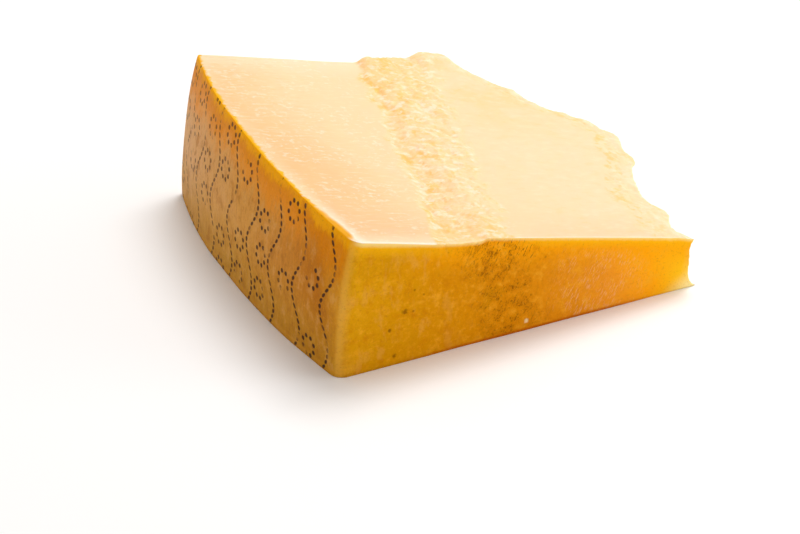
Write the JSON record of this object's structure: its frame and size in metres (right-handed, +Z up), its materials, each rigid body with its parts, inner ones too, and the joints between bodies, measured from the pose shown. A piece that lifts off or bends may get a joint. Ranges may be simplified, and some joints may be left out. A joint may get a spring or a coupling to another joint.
{
  "type": "hard cheese chunk",
  "caption": "Wedge of hard grainy cheese lying on a radial cut: bowed side rind, flat rind, sloping upper cut with a torn band, and a craggy broken end.",
  "frame": {"origin": "middle of the bounding box's underside, on the flat lower cut that the chunk rests on", "axes": "+Z up from the lower cut, +X from the side rind towards the broken end at the wheel's heart, +Y from the flat rind to the cut at the back"},
  "size_m": [0.1642, 0.1486, 0.0568],
  "materials": {
    "cheese": "satin, pale yellow paste with an ochre rind on two sides"
  },
  "bodies": {
    "root": {"cheese": "cheese"}
  },
  "joints": []
}
